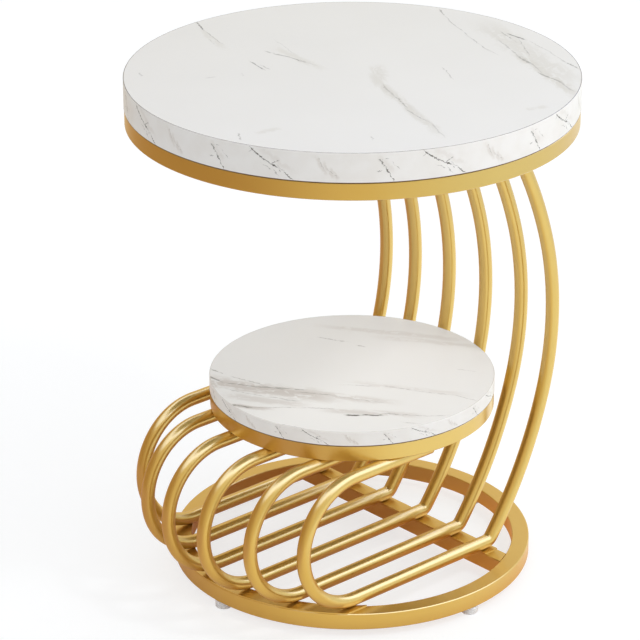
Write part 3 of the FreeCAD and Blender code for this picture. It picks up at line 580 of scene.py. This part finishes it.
def make_zinc(name):
    """Zinc plating: a cool metal whose gloss is mottled."""
    finish, tree, shader, place = new_finish(name)
    mottle = stretch(tree, noise(tree, place, 700, 3), *CRISP)
    grey = blend(tree, mottle, (0.55, 0.56, 0.58, 1), (0.68, 0.69, 0.70, 1))
    tree.links.new(grey, shader.inputs["Base Color"])
    tree.links.new(stretch(tree, mottle, 0, 1, 0.26, 0.42), shader.inputs["Roughness"])
    set_inputs(shader, Metallic=1.0)
    emboss(tree, shader, noise(tree, place, 2600, 2), distance=0.01 * MM, strength=0.3)
    return finish


def make_clear(name):
    """Moulded plastic that lets some light through, with a haze."""
    finish, tree, shader, place = new_finish(name)
    set_inputs(shader, Transmission_Weight=0.25, IOR=1.45)
    haze = noise(tree, place, 260, 3)
    milky = blend(tree, haze, (0.97, 0.968, 0.965, 1), (0.99, 0.988, 0.985, 1))
    tree.links.new(milky, shader.inputs["Base Color"])
    tree.links.new(stretch(tree, haze, *SOFT, 0.24, 0.34), shader.inputs["Roughness"])
    emboss(tree, shader, noise(tree, place, 500, 2), distance=0.03 * MM, strength=0.2)
    return finish


backing = make_matt("backing_sheet", (0.80, 0.79, 0.77, 1), (0.85, 0.84, 0.82, 1),
                    scale=240, rough=0.75, grit=0.04 * MM)
core = make_matt("fibreboard_core", (0.42, 0.30, 0.18, 1), (0.56, 0.42, 0.27, 1),
                 scale=600, rough=0.9, grit=0.1 * MM)
zinc = make_zinc("zinc_plate")
clear = make_clear("clear_plastic")
FINISHES = {
    "gold_metal": gold, "gold_plug": plug_gold, "top_print": top_print, "shelf_print": shelf_print,
    "top_edge_print": top_edge, "shelf_edge_print": shelf_edge, "backing_sheet": backing,
    "board_core": core, "clear_plastic": clear, "zinc_steel": zinc,
}
slots = {part["node"]: part["material_slot"] for part in frame["record"]["subparts"]}
for name, piece in nodes.items():
    piece.material_slots[0].material = FINISHES[slots[name]]
print(len(nodes), "nodes dressed in", len(FINISHES), "finishes")

# %% [markdown]
# ## Screws and studs
# Ten pan-head screws hold the boards from below, and each foot has a threaded stud with a hex socket. Their
# solids are plain cylinders, but real ones have domed heads, recesses and threads. A screw could be
# modelled once and copied by hand. Geometry Nodes suit it better: a tree turns a few sizes into a screw and
# sets it on every point of a small mesh, so the places stay in one list.

# %% Shapes for turned metal
ROUND_STEPS, CORE_STEPS, HELIX_STEPS, RIDGE_SIDES = 32, 24, 24, 6
RIDGE_SHARE, WOUND_SHARE = 0.45, 0.9
TIP_SLOPE, TIP_SHARE = 8.0, 0.6


def start_tree(name, labels):
    """An empty geometry tree with named inputs: points, sizes and a finish."""
    tree = bpy.data.node_groups.new(name, "GeometryNodeTree")
    tree.interface.new_socket("Points", in_out="INPUT", socket_type="NodeSocketGeometry")
    for label in labels:
        tree.interface.new_socket(label, in_out="INPUT", socket_type="NodeSocketFloat")
    tree.interface.new_socket("Finish", in_out="INPUT", socket_type="NodeSocketMaterial")
    tree.interface.new_socket("Geometry", in_out="OUTPUT", socket_type="NodeSocketGeometry")
    return tree, add(tree, "NodeGroupInput").outputs


def above(tree, height):
    """A point on the axis at that height."""
    return add(tree, "ShaderNodeCombineXYZ", {"Z": height}).outputs[0]


def turned(tree, bottom, top, radius, steps):
    """A round solid between two heights, with a radius that may change on the way."""
    ends = {"Start": above(tree, bottom), "End": above(tree, top)}
    axis = add(tree, "GeometryNodeCurvePrimitiveLine", ends).outputs[0]
    fine = add(tree, "GeometryNodeResampleCurve", {"Curve": axis, "Count": steps}).outputs[0]
    feeds = {"Resolution": ROUND_STEPS, "Radius": 1.0}
    circle = add(tree, "GeometryNodeCurvePrimitiveCircle", feeds).outputs[0]
    feeds = {"Curve": fine, "Profile Curve": circle, "Scale": radius, "Fill Caps": True}
    return add(tree, "GeometryNodeCurveToMesh", feeds).outputs[0]


def thread(tree, bottom, length, radius, pitch):
    """A core with a tapered tip and a ridge that winds round it."""
    ridge = maths(tree, "MULTIPLY", pitch, RIDGE_SHARE)
    root = maths(tree, "SUBTRACT", radius, ridge)
    share = add(tree, "GeometryNodeSplineParameter").outputs["Factor"]
    taper = maths(tree, "MINIMUM", maths(tree, "MULTIPLY_ADD", share, -TIP_SLOPE, TIP_SLOPE + TIP_SHARE), 1.0)
    core_radius = maths(tree, "MULTIPLY", root, taper)
    core = turned(tree, bottom, maths(tree, "ADD", bottom, length), core_radius, CORE_STEPS)
    wound_length = maths(tree, "MULTIPLY", length, WOUND_SHARE)
    feeds = {"Resolution": HELIX_STEPS, "Rotations": maths(tree, "DIVIDE", wound_length, pitch),
             "Start Radius": root, "End Radius": root, "Height": wound_length}
    helix = add(tree, "GeometryNodeCurveSpiral", feeds).outputs[0]
    feeds = {"Resolution": RIDGE_SIDES, "Radius": ridge}
    section = add(tree, "GeometryNodeCurvePrimitiveCircle", feeds).outputs[0]
    feeds = {"Curve": helix, "Profile Curve": section, "Fill Caps": True}
    wound = add(tree, "GeometryNodeCurveToMesh", feeds).outputs[0]
    feeds = {"Geometry": wound, "Translation": above(tree, bottom)}
    return core, add(tree, "GeometryNodeTransform", feeds).outputs[0]


def cut_out(tree, solid, cutters):
    """A solid less its cutters."""
    cut = add(tree, "GeometryNodeMeshBoolean", {"Mesh 1": solid}, solver="EXACT")
    for cutter in cutters:
        tree.links.new(cutter, cut.inputs["Mesh 2"])
    return cut.outputs[0]


def end_tree(tree, given, parts):
    """Sets the joined parts on every point, as real faces with their finish."""
    joined = tree.nodes.new("GeometryNodeJoinGeometry")
    for part in parts:
        tree.links.new(part, joined.inputs[0])
    feeds = {"Points": given["Points"], "Instance": joined.outputs[0]}
    placed = add(tree, "GeometryNodeInstanceOnPoints", feeds).outputs[0]
    faces = add(tree, "GeometryNodeRealizeInstances", {0: placed}).outputs[0]
    feeds = {"Geometry": faces, "Material": given["Finish"]}
    dressed = add(tree, "GeometryNodeSetMaterial", feeds).outputs[0]
    add(tree, "NodeGroupOutput", {"Geometry": dressed})
    return tree


print("shapes for turned metal ready")

# %% The screw tree and the stud tree
DOME_POWER, DOME_FALL, DOME_STEPS = 3.0, 0.93, 12
ARM_SHARE = 1.15
LABELS = ("Head radius", "Head height", "Recess width", "Recess depth", "Radius", "Length", "Pitch")


def make_screw_tree():
    """A pan-head screw that points up: domed head, cross recess and wood thread."""
    tree, given = start_tree("pan_head_screw", LABELS)
    share = add(tree, "GeometryNodeSplineParameter").outputs["Factor"]
    fall = maths(tree, "POWER", maths(tree, "SUBTRACT", 1.0, share), DOME_POWER)
    swell = maths(tree, "SQRT", maths(tree, "MULTIPLY_ADD", fall, -DOME_FALL, 1.0))
    dome = maths(tree, "MULTIPLY", given["Head radius"], swell)
    head = turned(tree, 0.0, given["Head height"], dome, DOME_STEPS)
    arm = maths(tree, "MULTIPLY", given["Head radius"], ARM_SHARE)
    # The cutters are centred on the head's face, so only half of their depth is in it.
    deep = maths(tree, "MULTIPLY", given["Recess depth"], 2.0)
    bars = []
    for wide, long in ((arm, given["Recess width"]), (given["Recess width"], arm)):
        size = add(tree, "ShaderNodeCombineXYZ", {0: wide, 1: long, 2: deep}).outputs[0]
        bars.append(add(tree, "GeometryNodeMeshCube", {"Size": size}).outputs[0])
    shank = thread(tree, given["Head height"], given["Length"], given["Radius"], given["Pitch"])
    return end_tree(tree, given, (cut_out(tree, head, bars), *shank))


def make_stud_tree():
    """A levelling stud that points up: round head, hex socket from below and machine thread."""
    tree, given = start_tree("levelling_stud", LABELS)
    head = turned(tree, 0.0, given["Head height"], given["Head radius"], 2)
    corner = maths(tree, "DIVIDE", given["Recess width"], math.sqrt(3))
    deep = maths(tree, "MULTIPLY", given["Recess depth"], 2.0)
    key = add(tree, "GeometryNodeMeshCylinder", {"Vertices": 6, "Radius": corner, "Depth": deep}).outputs[0]
    shank = thread(tree, given["Head height"], given["Length"], given["Radius"], given["Pitch"])
    return end_tree(tree, given, (cut_out(tree, head, [key]), *shank))


SCREW_TREE = make_screw_tree()
STUD_TREE = make_stud_tree()
print("trees with", len(SCREW_TREE.nodes), "and", len(STUD_TREE.nodes), "nodes")

# %% Setting screws and studs
SHARP_ANGLE = math.radians(35)


def grow(name, tree, points, sizes, body, node):
    """Runs a tree on bare points and keeps its result as a plain piece in place of a CAD node."""
    seeds = bpy.data.meshes.new(name)
    seeds.from_pydata(points, [], [])
    piece = bpy.data.objects.new(name, seeds)
    scene.collection.objects.link(piece)
    modifier = piece.modifiers.new(name, "NODES")
    modifier.node_group = tree
    for socket in tree.interface.items_tree:
        if socket.in_out == "INPUT" and socket.name in sizes:
            modifier[socket.identifier] = sizes[socket.name]
    faces = bpy.data.meshes.new_from_object(piece.evaluated_get(bpy.context.evaluated_depsgraph_get()))
    piece.modifiers.remove(modifier)
    piece.data = faces
    faces.shade_smooth()
    faces.set_sharp_from_angle(angle=SHARP_ANGLE)
    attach(piece, body)
    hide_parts(node)
    print(name, len(points), "set,", len(faces.polygons), "faces")


def ring_of_points(angles, radius, height):
    """Points on a circle at those angles."""
    return [(radius * math.cos(math.radians(a)), radius * math.sin(math.radians(a)), height) for a in angles]


HEAD_RADIUS, HEAD_HEIGHT = 4 * MM, 2.4 * MM
SCREW = {"Head radius": HEAD_RADIUS, "Head height": HEAD_HEIGHT, "Recess width": 0.9 * MM,
         "Recess depth": 1.3 * MM, "Radius": 2 * MM, "Pitch": 1.4 * MM, "Finish": zinc}
TOP_ANGLES = range(0, 360, 60)
SHELF_ANGLE = 63
low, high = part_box("top_screws")
places = ring_of_points(TOP_ANGLES, high.x - HEAD_RADIUS, low.z)
sizes = {**SCREW, "Length": high.z - low.z - HEAD_HEIGHT}
grow("top_board_screws", SCREW_TREE, places, sizes, "frame", "top_screws")
low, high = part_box("shelf_screws")
shelf_reach = (high.y - HEAD_RADIUS) / math.sin(math.radians(SHELF_ANGLE))
shelf_angles = (SHELF_ANGLE, 180 - SHELF_ANGLE, -SHELF_ANGLE, SHELF_ANGLE - 180)
places = ring_of_points(shelf_angles, shelf_reach, low.z)
sizes = {**SCREW, "Length": high.z - low.z - HEAD_HEIGHT}
grow("shelf_board_screws", SCREW_TREE, places, sizes, "frame", "shelf_screws")

STUD_HEAD_HEIGHT = 3 * MM
for number in range(1, 5):
    low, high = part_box(f"foot_stud_{number}")
    middle = (low + high) / 2
    sizes = {"Head radius": (high.x - low.x) / 2, "Head height": STUD_HEAD_HEIGHT, "Recess width": 4 * MM,
             "Recess depth": 2 * MM, "Radius": 3 * MM, "Pitch": 1 * MM, "Finish": zinc,
             "Length": high.z - low.z - STUD_HEAD_HEIGHT}
    grow(f"threaded_stud_{number}", STUD_TREE, [(middle.x, middle.y, low.z)], sizes, f"stud_{number}",
         f"foot_stud_{number}")
